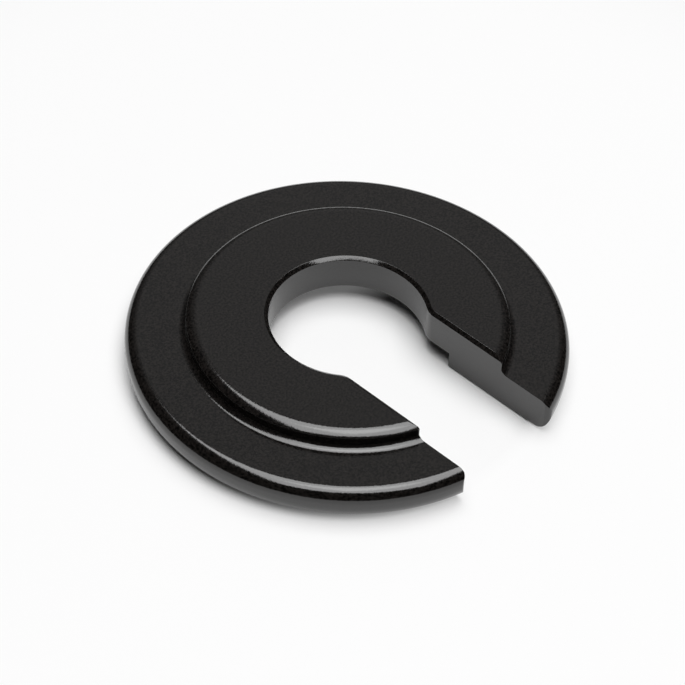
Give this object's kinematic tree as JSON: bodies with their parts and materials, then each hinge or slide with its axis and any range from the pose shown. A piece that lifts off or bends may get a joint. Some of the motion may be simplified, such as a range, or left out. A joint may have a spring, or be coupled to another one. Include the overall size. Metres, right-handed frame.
{
  "type": "spring clip",
  "caption": "Slotted round collar with a stepped boss, keyhole bore and underside recess, which slides over a shaft and holds the end of a coil spring.",
  "frame": {"origin": "on the bore's axis, in the plane of the underside", "axes": "+Z along the bore's axis, from the underside to the boss; the slot opens towards -Y"},
  "size_m": [0.048, 0.0469, 0.0062],
  "materials": {
    "anodised_aluminium": "black anodised, satin, finely textured"
  },
  "bodies": {
    "root": {"spring_clip": "anodised_aluminium"}
  },
  "joints": []
}
